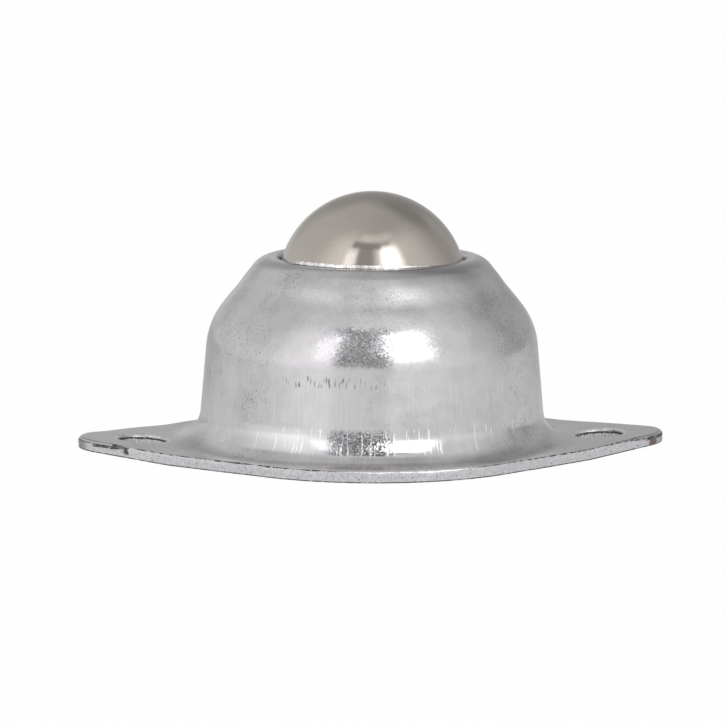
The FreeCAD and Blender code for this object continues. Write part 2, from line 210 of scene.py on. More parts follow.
# %% patterns, and the turn round the axis
def patterned(tree, **patterns):
    """The place on a piece in millimetres, and noise there by name: blot size in mm, detail, roughness."""
    place = add(tree, "TexCoord")["Object"]
    at = {"place": add(tree, "VectorMath", {0: place, "Scale": 1 / MM}, operation="SCALE")[0]}
    for name, (size, detail, roughness) in patterns.items():
        at[name] = add(tree, "TexNoise", {
            "Vector": at["place"], "Scale": 1 / size, "Detail": detail, "Roughness": roughness})["Fac"]
    return at


def turn_of(axes):
    """Degrees round the upright axis, counted from the front towards the right."""
    tree = axes["X"].id_data
    frontward = add(tree, "Math", [axes["Y"], -1.0], operation="MULTIPLY")[0]
    turn = add(tree, "Math", [axes["X"], frontward], operation="ARCTAN2")[0]
    return add(tree, "Math", [turn], operation="DEGREES")[0]


print("made helpers:", patterned.__name__, turn_of.__name__)

# %% [markdown]
# ## Zinc-plated pressed steel
# The sheet was drawn in a press and then barrel plated, so it is a pale, neutral metal with a soft gloss.
# What makes it look pressed and not turned: a crystalline grain that breaks highlights into sparks, upright
# draw marks where the die dragged down the wall, and scratches across the foot's bend. Use left grey scuffs
# on the shoulder. Some light and shade is painted into the colour too: painted highlights on the crown and
# the cone, painted light on the left of the bend, painted shade on the crown at the right, a painted dark
# reflection and painted sparkle between the highlights, and painted dark lines at the burr's foot and below
# the bend.

# %% sizes and zones of the sheet
# Lengths are in millimetres, turns in degrees from the front. A blot has a size, a detail and a roughness,
# and a mark that is drawn out has a width and a length. Real crystals, draw marks and scratches are finer
# than a pixel, so they are drawn as wide as it takes to show.
CRYSTAL_SIZE = 0.17
BLOTS = {"mottle": (2.4, 5, 0.65), "smudge": (6.5, 4, 0.6), "scuff": (0.3, 2, 0.6)}
DRAWN_OUT = {"marks": (0.16, 5.0), "lines": (0.3, 5.0), "ticks": (0.26, 1.5)}
DRAW_MARK_DEPTH = 0.003
SCRATCH_DEPTH = 0.005
GRAIN_TURN = (-21, -17, -2, 3)
FRONT_TURN = (-40, -28, 14, 26)
BURR_TURN = (-61, -54, 2, 42)
# Where a dark line of painted shade runs along the foot of the burr.
BURR_SHADE_REACH = (LIP_RADIUS + 0.45, LIP_RADIUS + 0.55, LIP_RADIUS + 0.8, LIP_RADIUS + 1.2)
BURR_SHADE_HEIGHT = (LIP_HEIGHT - 0.6, LIP_HEIGHT - 0.3)
# Where crystals are painted as dark speckle and white sparkle, in the gap between the highlights.
PAINTED_SPARKLE_PLACE = {"height": (13.8, 15.0, 18.4, 20.0), "turn": (-23, -15, -2, 5)}
# Heights where highlights are painted white on the crown.
PAINTED_HIGHLIGHT_HEIGHT = (21.2, 23.0, 23.3, 25.0)
SPARKLE = (-0.2, 0.6)

ZONES = {
    "wall": {"height": (13.6, 12.4), "reach": (26.6, 25.8)},
    "bend": {"height": (2.9, 3.3, 5.7, 6.5), "wall": True},
    "land": {"reach": (25.8, 26.6), "across": (27, 21)},
    "drawn": {"marks": True, "wall": True},
    "wiped": {"turn": (-48, -34, 36, 50)},
}
HANDLED = ({"smudge": (0.42, 0.6)}, {"height": (12.6, 14.6, 18.2, 20.6), "share": 0.7})
SCRATCHES = (
    {"bend": True, "lines": (0.64, 0.68), "turn": FRONT_TURN},
    {"bend": True, "lines": (0.61, 0.65), "turn": GRAIN_TURN},
    {"bend": True, "lines": (0.68, 0.71)},
)
CRYSTAL_TILT = (
    {"bend": True, "turn": GRAIN_TURN, "share": 0.2},
    {"height": (13.4, 16.5), "share": 0.062},
    {"share": 0.006},
)
print("zones of the sheet:", ", ".join(ZONES))

# %% coats of the sheet
SHEET_GROUND = "#BCBABC"
SHEET_COATS = {
    "mottling": ("#DAD8DA", {"mottle": True}),
    "draw marks": ("#EDECED", {"drawn": (0.5, 1.5)}),
    "smudges": ("#BDBBBD", {"smudge": (0.5, 0.7)}),
    "scuffs": ("#959294", {"handled": True, "scuff": (0.54, 0.68), "wiped": (1.25, 0)}),
    "ticks where the draw begins": ("#858284", {
        "ticks": (0.41, 0.31), "height": (11.4, 11.9, 12.7, 13.3), "turn": (-40, -30, -6, 4)}),
    "matt land": ("#F2F0EE", {"land": True}),
    # Painted shade: a dark line painted along the foot of the burr.
    "painted shade at the burr's foot": ("#3A3837", {
        "reach": BURR_SHADE_REACH, "turn": BURR_TURN, "height": BURR_SHADE_HEIGHT, "mottle": (0.3, 0.55)}),
    # Painted shade: a dark line painted along the crease below the bend.
    "painted dark line below the bend": ("#5F5C5B", {
        "height": (3.02, 3.12, 3.22, 3.34), "turn": GRAIN_TURN, "mottle": (0.43, 0.6)}),
    # Painted light: the left of the bend is painted paler, for light that it mirrors there.
    "painted light on the bend's left": ("#DEDDDE", {"bend": True, "turn": (-56, -44, -32, -22)}),
    # Painted highlights: white painted grain by grain on the crown and the cone, where they mirror the room's
    # light.
    "painted highlight on the crown at the right": ("#FFFFFF", {
        "height": PAINTED_HIGHLIGHT_HEIGHT, "turn": (-7, 8, 10, 25), "lot_3": SPARKLE, "share": 0.85}),
    "painted highlight on the crown at the left": ("#FFFFFF", {
        "height": PAINTED_HIGHLIGHT_HEIGHT, "turn": (-58, -36, -33, -16), "lot_3": SPARKLE, "share": 0.4}),
    "painted highlight on the cone": ("#FFFFFF", {
        "height": (17.0, 18.4, 19.2, 21.4), "turn": (-7, 7, 11, 23), "lot_3": SPARKLE, "share": 0.5}),
    # Painted shade: the crown is painted darker towards the right.
    "painted shade on the crown at the right": ("#B4B2B4", {"height": (23.7, 25.0, 26.5, 27.0), "turn": (-6, 20, 45, 75)}),
    # Painted reflection: the crystals in front of the bend are painted dark, for the dark part of the room
    # that it mirrors.
    "painted dark reflection on the bend's crystals": ("#858287", {"bend": True, "turn": GRAIN_TURN, "lot_1": (0.52, 0.38)}),
    # Painted reflection: crystals of the shoulder between the highlights are painted darker, and some white
    # as sparks of light.
    "painted dark speckle between the highlights": ("#AAA7AE", {**PAINTED_SPARKLE_PLACE, "lot_1": (0.5, 0.15)}),
    "painted sparkle between the highlights": ("#FFFFFF", {**PAINTED_SPARKLE_PLACE, "lot_2": (0.76, 0.98)}),
    "scratches": ("#F6F5F6", {"scratch": True}),
}
SHEET_GLOSS = 0.13
SHEET_GLOSS_COATS = {
    "mottling": (0.2, {"mottle": (0.3, 0.7)}),
    "polished bend": (0.13, {"bend": True, "turn": FRONT_TURN}),
    "matt land": (0.5, {"land": True}),
}
print("coats of the sheet:", ", ".join(SHEET_COATS))

# %% what varies over the sheet
def sheet_places(tree):
    """Everything that limits a coat of the sheet, by name. Each crystal draws three lots."""
    at = patterned(tree, **BLOTS)
    axes = add(tree, "SeparateXYZ", [at["place"]])
    flat = add(tree, "VectorMath", [at["place"], (1, 1, 0)], operation="MULTIPLY")[0]
    spoke = add(tree, "VectorMath", [flat], operation="NORMALIZE")[0]
    at["height"] = axes["Z"]
    at["turn"] = turn_of(axes)
    at["reach"] = add(tree, "VectorMath", [flat], operation="LENGTH")["Value"]
    at["across"] = add(tree, "Math", [axes["X"]], operation="ABSOLUTE")[0]
    for name, (width, length) in DRAWN_OUT.items():
        round_wall = add(tree, "VectorMath", {0: spoke, "Scale": WALL_RADIUS / width}, operation="SCALE")[0]
        drawn_out = add(tree, "VectorMath", [
            at["place"], (0, 0, 1 / length), round_wall], operation="MULTIPLY_ADD")[0]
        at[name] = add(tree, "TexNoise", {"Vector": drawn_out, "Scale": 1, "Detail": 1})["Fac"]
    at["crystal"] = add(tree, "TexVoronoi", {"Vector": at["place"], "Scale": 1 / CRYSTAL_SIZE})["Color"]
    lots = add(tree, "SeparateXYZ", [at["crystal"]])
    at.update(lot_1=lots["X"], lot_2=lots["Y"], lot_3=lots["Z"])
    for name, limits in ZONES.items():
        at[name] = within(at, limits)
    at["handled"] = most(at, HANDLED)
    at["scratch"] = most(at, SCRATCHES)
    return at


print("patterns of the sheet:", ", ".join([*BLOTS, *DRAWN_OUT]))

# %% zinc-plated sheet
def zinc_plated_sheet():
    # Bright zinc on drawn steel. It gives the eye a pale, neutral, semi-gloss grey with grainy highlights.
    material, tree = new_material("zinc_plated_drawn_steel")
    at = sheet_places(tree)
    lean = add(tree, "VectorMath", [at["crystal"], (0.5, 0.5, 0.5)], operation="SUBTRACT")[0]
    lean = add(tree, "VectorMath", {0: lean, "Scale": most(at, CRYSTAL_TILT)}, operation="SCALE")[0]
    facing = add(tree, "NewGeometry")["Normal"]
    facet = add(tree, "VectorMath", [facing, lean], operation="ADD")[0]
    normal = add(tree, "VectorMath", [facet], operation="NORMALIZE")[0]
    for height, depth in ((at["drawn"], DRAW_MARK_DEPTH), (at["scratch"], SCRATCH_DEPTH)):
        normal = add(tree, "Bump", {
            "Height": height, "Strength": 1.0, "Distance": depth * MM, "Normal": normal})[0]
    metal = add(tree, "BsdfPrincipled", {
        "Base Color": layered(at, SHEET_GROUND, SHEET_COATS.values()), "Metallic": 1.0,
        "Roughness": layered(at, SHEET_GLOSS, SHEET_GLOSS_COATS.values()), "Normal": normal})[0]
    add(tree, "OutputMaterial", {"Surface": metal})
    return material


zinc_sheet = zinc_plated_sheet()
print("made", zinc_sheet.name, "with", len(zinc_sheet.node_tree.nodes), "nodes")

# %% [markdown]
# ## Cut steel
# Where the flange was blanked and the holes were punched, the steel was cut and torn, not drawn. A cut edge
# has a smooth upper band, a rough torn lower band, pits, and a painted line along each corner: painted shade
# along the lower corner, and along the upper corner painted shade on the outer edge but a painted highlight
# in the holes. The mesh knows how deep in the cut each point lies, as an attribute, so the bands follow the
# edge wherever it goes. The holes are duller, and their walls are painted darker as shade, most in a band in
# the middle. The torn lip is brighter. The round tips of the outer edge are painted darker as shade. Only the
# outer edge has a glint in front, and seams and chips at its tips.

# %% coats of the cut steel
TEAR_WIDTH = 0.2
TEAR_DRAWN_OUT = 0.6
TEAR_RELIEF = 0.05
PIT_SPACING = 0.8
BREAKS = (0.8, 4, 0.7)
UPPER_CORNER = (-0.02, 0.01, 0.06, 0.1)
LOWER_CORNER = (0.86, 0.94, 1.1, 1.2)
# Painted shade: the round tips of the outer edge are painted darker.
TIP_SHADE = (38.3, 39.3)
EDGE_FRONT = {"x": (-9, -3, 10, 13), "y": (-20, -25)}
SHIFTED_BY_TEAR = {"ragged_depth": ("depth", 0.4), "ragged_x": ("x", 1.0)}
GLINT = {"depth": UPPER_CORNER, "front": True, "broken": (0.44, 0.5)}
GLINT_GLOSS = 0.12
# Dark seams at the tips, and painted shade in the holes, share this colour and its breaks.
SEAM_AND_SHADE_HEX = "#524E4B"
SEAM_AND_SHADE_BREAKS = (0.3, 0.45)
TIP_SEAM = (0.04, 0.06, 0.14, 0.24)
EDGE_MARKS = {
    "glint along the front": ("#FFFFFF", GLINT),
    "seam at the left tip": (SEAM_AND_SHADE_HEX, {
        "ragged_depth": TIP_SEAM, "x": (-38.2, -37.6, -34.0, -33.4), "broken": SEAM_AND_SHADE_BREAKS}),
    "seam at the right tip": (SEAM_AND_SHADE_HEX, {
        "ragged_depth": TIP_SEAM, "x": (36.4, 37.2, 41.0, 42.0), "broken": SEAM_AND_SHADE_BREAKS}),
    "chip at the right tip": ("#7D6F66", {
        "ragged_x": (37.1, 37.4, 38.3, 38.6), "depth": (0.1, 0.16, 0.9, 1.0)}),
    "chip at the left tip": ("#5E5A56", {
        "ragged_x": (-33.9, -33.7, -33.3, -33.1), "depth": (0.04, 0.08, 0.6, 0.75)}),
}
# Painted shade: a dark band painted across the middle of each hole's wall.
BORE_SHADE = [(SEAM_AND_SHADE_HEX, {"ragged_depth": (0.2, 0.28, 0.38, 0.46), "broken": SEAM_AND_SHADE_BREAKS})]
print("marks on the cut edge:", ", ".join(EDGE_MARKS))

# %% cut steel
def cut_steel(name, torn_hex, pale_hex, painted_corner_hex, gloss, marks=(), glints=(), metallic=1.0):
    # Zinc over a torn cut: a pale, rough band with tears, dark pits, and painted light and shade on corners.
    material, tree = new_material(name)
    at = patterned(tree, broken=BREAKS)
    axes = add(tree, "SeparateXYZ", [at["place"]])
    at.update(x=axes["X"], y=axes["Y"])
    at["across"] = add(tree, "Math", [axes["X"]], operation="ABSOLUTE")[0]
    at["depth"] = add(tree, "Attribute", attribute_name="cut_depth")["Fac"]
    at["front"] = within(at, EDGE_FRONT)
    at["pit"] = add(tree, "TexVoronoi", {"Vector": at["place"], "Scale": 1 / PIT_SPACING})["Distance"]
    tear_place = add(tree, "VectorMath", [at["place"], (1, 1, TEAR_DRAWN_OUT)], operation="MULTIPLY")[0]
    at["tear"] = add(tree, "TexNoise", {
        "Vector": tear_place, "Scale": 1 / TEAR_WIDTH, "Detail": 3, "Roughness": 0.65})["Fac"]
    for shifted, (source, spread) in SHIFTED_BY_TEAR.items():
        ragged = add(tree, "Math", [at["tear"], spread, at[source]], operation="MULTIPLY_ADD")[0]
        at[shifted] = add(tree, "Math", [ragged, spread / 2], operation="SUBTRACT")[0]
    colour = layered(at, torn_hex, [
        (pale_hex, {"tear": (0.3, 0.7)}),
        # Painted shade at the round tips.
        ("#8F8C8B", {"across": TIP_SHADE}),
        ("#6B6866", {"pit": (0.16, 0.07)}),
        # Along the upper corner a painted line: painted shade on the outer edge, a painted highlight in the
        # holes.
        (painted_corner_hex, {"depth": UPPER_CORNER, "broken": (0.42, 0.56), "front": (1, 0)}),
        # Painted shade: a dark line painted along the lower corner.
        ("#3C3A39", {"depth": LOWER_CORNER, "broken": (0.3, 0.5)}),
        *marks])
    bump = add(tree, "Bump", {"Height": at["tear"], "Strength": 1.0, "Distance": TEAR_RELIEF * MM})[0]
    metal = add(tree, "BsdfPrincipled", {
        "Base Color": colour, "Metallic": metallic, "Normal": bump,
        "Roughness": layered(at, gloss, [(GLINT_GLOSS, glint) for glint in glints])})[0]
    add(tree, "OutputMaterial", {"Surface": metal})
    return material


edge_zinc = cut_steel(
    "zinc_plated_sheared_edge", "#B7B5B9", "#E6E5E8", "#4E4B4A", 0.32, EDGE_MARKS.values(), [GLINT])
# In the holes the darker torn colour is painted shade, and the near-white corner colour is a painted
# highlight on the rim.
bore_zinc = cut_steel(
    "zinc_plated_punched_bore", "#9A989A", "#F4F2F2", "#F6F4F2", 0.26, BORE_SHADE, metallic=0.75)
lip_zinc = cut_steel("zinc_plated_torn_lip", "#F0EFEF", "#FFFFFE", "#B9B6B4", 0.22)
print("made", edge_zinc.name, bore_zinc.name, lip_zinc.name)

# %% [markdown]
# ## Ball steel and hardened steel
# The load ball is ground and polished, so it mirrors the room with a faint warm grey, and only very fine
# polish marks spread its highlights. The bearing balls have the same finish. The bowl that they run in is
# hardened and left as it came from the press: darker, with a faint blue and brown bloom.

# %% ball steel and bowl steel
# Real polish marks are thousandths of a millimetre wide. They are drawn a pixel wide, so that they show.
POLISH_MARK = 0.12
POLISH_DEPTH = 0.006
BLOOM_SIZE = 9.0


def polished_steel(name, body_hex, worn_hex):
    # Ground and polished bearing steel. It gives the eye a near mirror, dulled by marks too fine to count.
    material, tree = new_material(name)
    at = patterned(tree, marks=(POLISH_MARK, 2, 0.5), haze=(BLOOM_SIZE, 4, 0.55))
    colour = layered(at, body_hex, [
        (worn_hex, {"haze": True}), ("#9B948D", {"marks": (0.46, 0.62), "share": 0.3})])
    bump = add(tree, "Bump", {"Height": at["marks"], "Strength": 0.5, "Distance": POLISH_DEPTH * MM})[0]
    metal = add(tree, "BsdfPrincipled", {
        "Base Color": colour, "Metallic": 1.0, "Normal": bump,
        "Roughness": layered(at, 0.07, [(0.13, {"haze": (0.3, 0.7)})])})[0]
    add(tree, "OutputMaterial", {"Surface": metal})
    return material


def hardened_bowl_steel():
    # Hardened strip left as quenched. It gives the eye a dark satin grey with a heat bloom.
    material, tree = new_material("hardened_pressed_steel")
    at = patterned(tree, bloom=(BLOOM_SIZE, 4, 0.6), grain=(CRYSTAL_SIZE, 2, 0.5))
    metal = add(tree, "BsdfPrincipled", {
        "Base Color": layered(at, "#6F7277", [("#857C72", {"bloom": True})]), "Metallic": 1.0,
        "Roughness": layered(at, 0.28, [(0.42, {"grain": True})])})[0]
    add(tree, "OutputMaterial", {"Surface": metal})
    return material


ball_steel = polished_steel("ground_and_polished_ball_steel", "#C4BDB5", "#BAB3AC")
bed_steel = polished_steel("ground_bearing_ball_steel", "#C2BFBC", "#B3B0AE")
bowl_steel = hardened_bowl_steel()
print("made", ball_steel.name, bed_steel.name, bowl_steel.name)

# %% [markdown]
# ## Growing a mesh from a tree
# A Geometry Nodes tree says a shape's rule in the open. Each tree here has named inputs for its sizes and
# ends in the same way: as a real, smooth mesh in its material. The result is kept as a plain mesh.

# %% helpers for trees that make a mesh
def new_tree(name, **sockets):
    """An empty Geometry Nodes tree with named inputs, the key of each input, and the inputs' sockets."""
    tree = bpy.data.node_groups.new(name, "GeometryNodeTree")
    tree.interface.new_socket(name="Geometry", in_out="OUTPUT", socket_type="NodeSocketGeometry")
    tree.interface.new_socket(name="Geometry", in_out="INPUT", socket_type="NodeSocketGeometry")
    keys = {}
    for socket, kind in {**sockets, "material": "Material"}.items():
        kind = "NodeSocket" + kind
        keys[socket] = tree.interface.new_socket(name=socket, in_out="INPUT", socket_type=kind).identifier
    return tree, keys, add(tree, "NodeGroupInput")


def end_tree(tree, given, shape):
    smooth = add(tree, "GeometryNodeSetShadeSmooth", {"Geometry": shape})[0]
    real = add(tree, "GeometryNodeRealizeInstances", {"Geometry": smooth})[0]
    coated = add(tree, "GeometryNodeSetMaterial", {"Geometry": real, "Material": given["material"]})[0]
    add(tree, "NodeGroupOutput", {"Geometry": coated})


def grow(name, source, tree, keys, stages):
    """Runs a tree over a mesh, once for each set of values, and keeps the plain mesh that it leaves."""
    carrier = bpy.data.objects.new(name + "_source", source)
    bpy.context.scene.collection.objects.link(carrier)
    for values in stages:
        modifier = carrier.modifiers.new(tree.name, "NODES")
        modifier.node_group = tree
        for socket, value in values.items():
            modifier[keys[socket]] = value
    evaluated = carrier.evaluated_get(bpy.context.evaluated_depsgraph_get())
    mesh = bpy.data.meshes.new_from_object(evaluated)
    mesh.name = name
    bpy.data.objects.remove(carrier)
    return mesh


print("made helpers:", new_tree.__name__, end_tree.__name__, grow.__name__)

# %% [markdown]
# ## The spun section
# Dome, bowl and pan are sections turned about one axis. Each could be a Screw modifier. A tree was chosen
# because it can also let the surface wander a few hundredths of a millimetre, as drawn sheet does, and hold
# it still where the flange joins on. One tree then serves all three pieces.

# %% a tree that turns a section about the axis
STILL_MARGIN = 2.0


def spun_section_tree():
    tree, keys, given = new_tree(
        "spun_section", segments="Int", circle_radius="Float", wander_depth="Float", wander_size="Float",
        still_radius="Float")
    section = add(tree, "GeometryNodeMeshToCurve", {"Mesh": given["Geometry"]})[0]
    circle = add(tree, "GeometryNodeCurvePrimitiveCircle", {
        "Resolution": given["segments"], "Radius": given["circle_radius"]})[0]
    spun = add(tree, "GeometryNodeCurveToMesh", {"Curve": circle, "Profile Curve": section})[0]
    outwards = add(tree, "GeometryNodeFlipFaces", {"Mesh": spun})[0]

    place = add(tree, "GeometryNodeInputPosition")[0]
    normal = add(tree, "GeometryNodeInputNormal")[0]
    frequency = add(tree, "Math", [1.0, given["wander_size"]], operation="DIVIDE")[0]
    wander = add(tree, "TexNoise", {"Vector": place, "Scale": frequency, "Detail": 1})["Fac"]
    flat = add(tree, "VectorMath", [place, (1, 1, 0)], operation="MULTIPLY")[0]
    reach = add(tree, "VectorMath", [flat], operation="LENGTH")["Value"]
    free_from = add(tree, "Math", [given["still_radius"], STILL_MARGIN * MM], operation="SUBTRACT")[0]
    free = add(tree, "MapRange", {
        "Value": reach, "From Min": given["still_radius"], "From Max": free_from})[0]
    depth = add(tree, "Math", [free, given["wander_depth"]], operation="MULTIPLY")[0]
    sink = add(tree, "Math", [wander, depth], operation="MULTIPLY")[0]
    inwards = add(tree, "Math", [sink, -1.0], operation="MULTIPLY")[0]
    offset = add(tree, "VectorMath", {0: normal, "Scale": inwards}, operation="SCALE")[0]
    moved = add(tree, "GeometryNodeSetPosition", {"Geometry": outwards, "Offset": offset})[0]
    end_tree(tree, given, moved)
    return tree, keys


spun_section = spun_section_tree()
print("tree", spun_section[0].name, "inputs", list(spun_section[1]))

# %% [markdown]
# ## The dome's section
# A drawn sheet keeps its thickness, so the outside of the section is the inside moved out by one sheet, and
# each bend outside is concentric with the one inside. One function moves a run of straight lines aside,
# another rounds its corners. The outside gets close points, the hidden inside fewer.

# %% runs with rounded corners
def moved_aside(corners, distance):
    """The same run of straight lines, moved to its right."""
    sides = [
        Vector((there.y - here.y, here.x - there.x)).normalized() for here, there in zip(corners, corners[1:])
    ]
    before, after = [sides[0], *sides], [*sides, sides[-1]]
    return [
        corner + (one + other) * distance / (1 + one.dot(other))
        for corner, one, other in zip(corners, before, after)
    ]


def run_points(start, end, step):
    """Even points from a start, which isn't among them, to an end. There are none where the two meet."""
    if (end - start).length <= 1e-4:
        return []
    count = max(1, math.ceil((end - start).length / step))
    return [start.lerp(end, place / count) for place in range(1, count + 1)]


def rounded_path(corners, bends, run_step, turn_step):
    """Points along straight runs whose corners are rounded, from the first corner to the last."""
    points = [corners[0]]
    for before, corner, after, bend in zip(corners, corners[1:], corners[2:], bends):
        back, onward = (before - corner).normalized(), (after - corner).normalized()
        half = back.angle(onward) / 2
        start = corner + back * bend / math.tan(half)
        centre = corner + (back + onward).normalized() * bend / math.sin(half)
        points += run_points(points[-1], start, run_step)
        turn = math.pi - 2 * half
        if back.cross(onward) > 0:
            turn = -turn
        count = math.ceil(abs(turn) / turn_step)
        for place in range(1, count + 1):
            points.append(centre + Matrix.Rotation(turn * place / count, 2) @ (start - centre))
    return points + run_points(points[-1], corners[-1], run_step)


square = [Vector(corner) for corner in ((0, 0), (1, 0), (1, 1))]
rounded = rounded_path(square, [0.5], 1, math.radians(30))
print("a corner rounded in steps of 30 degrees has", len(rounded), "points")

# %% section of the dome
FINE_RUN, FINE_TURN = 0.4, math.radians(3)
COARSE_RUN, COARSE_TURN = 2.0, math.radians(9)
BURR_HEIGHT = 0.8
BURR_FOOT = 0.55
BURR_TOP = 0.4
BURR_ROUND = 0.06

shoulder_height = BALL_HEIGHT - SHOULDER_DROP
inside = [
    Vector((LAND_RADIUS, 0)),
    Vector((WALL_RADIUS, 0)),
    Vector((WALL_RADIUS - shoulder_height * math.tan(WALL_DRAFT), shoulder_height)),
    Vector((LIP_RADIUS + CROWN_WIDTH, LIP_UNDER)),
    Vector((LIP_RADIUS, LIP_UNDER)),
]
outside = moved_aside(inside, SHEET)
lip_middle = (inside[-1] + outside[-1]) / 2
burr = [
    Vector((LIP_RADIUS + BURR_FOOT, LIP_HEIGHT)),
    Vector((LIP_RADIUS + BURR_TOP, LIP_HEIGHT + BURR_HEIGHT)),
]
outer_path = rounded_path(
    [*outside[:-1], *burr, lip_middle],
    [BASE_BEND - SHEET, SHOULDER_BEND + SHEET, CROWN_BEND + SHEET, BURR_ROUND, BURR_ROUND],
    FINE_RUN, FINE_TURN)
inner_path = rounded_path(
    [lip_middle, *reversed(inside)],
    [LIP_ROUND, CROWN_BEND, SHOULDER_BEND, BASE_BEND], COARSE_RUN, COARSE_TURN)
print("section points:", len(outer_path), "outside,", len(inner_path), "inside")

# %% [markdown]
# ## What the press leaves
# A drawn sheet is never quite straight. It sinks a little on the cone, by less than a tenth of a millimetre,
# and that shows, because metal mirrors the room: a slope that changes by two degrees moves a reflection by
# four. The section ends here at the join, short of the flange's edge, because from there on the flange isn't
# round.

# %% the hollow on the cone, and the join
HOLLOW_HEIGHT, HOLLOW_REACH, HOLLOW_DEPTH = 22.2, 1.6, 0.08
JOIN_RADIUS = 25.0


def pressed(point):
    """The point, sunk where the cone is hollow."""
    if abs(point.y - HOLLOW_HEIGHT) >= HOLLOW_REACH:
        return point
    share = math.cos(math.pi / 2 * (point.y - HOLLOW_HEIGHT) / HOLLOW_REACH) ** 2
    return Vector((point.x - HOLLOW_DEPTH * share, point.y))


def foot_height(radius, bend):
    """Height of a face of the foot's bend at this distance from the axis."""
    inward = max(0, LAND_RADIUS - radius)
    return BASE_BEND - math.sqrt(bend ** 2 - inward ** 2)


dome_section = [
    Vector((JOIN_RADIUS, foot_height(JOIN_RADIUS, BASE_BEND - SHEET))),
    *[pressed(point) for point in outer_path + inner_path[1:] if point.x < JOIN_RADIUS],
    Vector((JOIN_RADIUS, foot_height(JOIN_RADIUS, BASE_BEND))),
]
print(f"join at radius {JOIN_RADIUS}, between heights {dome_section[-1].y:.2f} and {dome_section[0].y:.2f}")

# %% [markdown]
# ## The dome
# The tree carries the section round a small circle. Curve to Mesh lays a section out from the circle's own
# line, so the section is written as its distance from that circle.

# %% the dome, turned from its section
ROUND_SEGMENTS = 384
CIRCLE_RADIUS = 10.0
SHEET_WANDER = 0.03
SHEET_WANDER_SIZE = 7.0


def spin(name, points, closed, material, wander=0.0):
    """Turns a section about the axis. A closed section runs on from its last point to its first."""
    section = bpy.data.meshes.new(name + "_section")
    edges = [(place, place + 1) for place in range(len(points) - 1)]
    if closed:
        edges.append((len(points) - 1, 0))
    section.from_pydata([((p.x - CIRCLE_RADIUS) * MM, -p.y * MM, 0) for p in points], edges, [])
    return grow(name, section, *spun_section, [{
        "segments": ROUND_SEGMENTS, "circle_radius": CIRCLE_RADIUS * MM, "wander_depth": wander * MM,
        "wander_size": SHEET_WANDER_SIZE * MM, "still_radius": JOIN_RADIUS * MM, "material": material}])


dome_mesh = spin("dome", dome_section, False, zinc_sheet, SHEET_WANDER)
corner = [max(v.co[axis] for v in dome_mesh.vertices) / MM for axis in range(3)]
print("dome:", len(dome_mesh.polygons), "faces, highest corner", [round(value, 3) for value in corner])

# %% [markdown]
# ## The flange
# The flange runs on from the dome's foot as one flat sheet, and its two arms are bent up a little. Its
# outline is a diamond: two round tips and two broad sides, joined by straight edges. A boolean cut would
# leave long thin triangles that shade badly, so the sheet is laid out in rings, and every point gets its
# height from one rule.

# %% outline and heights of the flange
TIP_RADIUS = 5.2
SIDE_RADIUS = 26.0
FOLD_LINE = 28.17
ARM_ANGLE = math.radians(3.4)
ARM_BEND = 20.0

tip_centre = Vector((HALF_LENGTH - TIP_RADIUS, 0))
side_centre = Vector((0, HALF_WIDTH - SIDE_RADIUS))
between = side_centre - tip_centre
edge_turn = math.pi / 2 - math.asin((SIDE_RADIUS - TIP_RADIUS) / between.length) - math.atan2(
    side_centre.y, tip_centre.x)
edge_side = Vector((math.cos(edge_turn), math.sin(edge_turn)))
tip_end = tip_centre + edge_side * TIP_RADIUS
side_end = side_centre + edge_side * SIDE_RADIUS


def outline(angle):
    """The flange's edge in this direction from the axis, and which way the edge faces there."""
    ray = Vector((abs(math.cos(angle)), abs(math.sin(angle))))
    mirror = Vector((math.copysign(1, math.cos(angle)), math.copysign(1, math.sin(angle))))
    if ray.cross(tip_end) > 0:
        centre, radius = tip_centre, TIP_RADIUS
    elif ray.cross(side_end) < 0:
        centre, radius = side_centre, SIDE_RADIUS
    else:
        point = ray * tip_end.dot(edge_side) / ray.dot(edge_side)
        return point * mirror, edge_side * mirror
    along = ray.dot(centre)
    point = ray * (along + math.sqrt(along ** 2 - centre.length_squared + radius ** 2))
    return point * mirror, (point - centre) / radius * mirror


def arm_rise(x, bend):
    """How far a face of the sheet whose fold has this radius rises towards the tip."""
    reach = abs(x) - FOLD_LINE + (ARM_BEND + SHEET) * math.tan(ARM_ANGLE / 2)
    if reach <= 0:
        return 0
    if reach < bend * math.sin(ARM_ANGLE):
        return bend - math.sqrt(bend ** 2 - reach ** 2)
    return bend + (reach * math.sin(ARM_ANGLE) - bend) / math.cos(ARM_ANGLE)


def sheet_point(point, depth):
    """A point of the flange at a depth below its upper face, as a share of the sheet."""
    top = foot_height(point.length, BASE_BEND - SHEET) + arm_rise(point.x, ARM_BEND)
    under = foot_height(point.length, BASE_BEND) + arm_rise(point.x, ARM_BEND + SHEET)
    return Vector((point.x, point.y, top + (under - top) * depth))


print(f"straight edges face {math.degrees(edge_turn):.1f} degrees off the long axis")

# %% [markdown]
# ## The cut edge
# A press rolls the upper edge over before it cuts, then shears a smooth band, then tears the rest. So the
# edge is a small round, an upright face, and a lower half that wanders in and out. One profile serves the
# outline and the holes. Each row of it says how far in from the cut it lies, how deep in the sheet, and how
# torn it is.

# %% profile of a cut edge
EDGE_ROLL = 0.2
ROLL_STEPS = 5
ROLL_TORN = 0.25
BREAK_OUT = 0.07
CUT_ROWS = (
    (0, 0.5, 0.3), (0, 0.6, 0.8), (0, 0.75, 1), (0, 0.88, 1),
    (BREAK_OUT * 0.3, 0.97, 0.6), (BREAK_OUT, 1, 0.3))
TEAR_DEPTH = 0.09
TEAR_SIZE = 0.9
TEAR_FLATTENED = 2
TEAR_FRACTAL = (0.9, 2.1, 3)


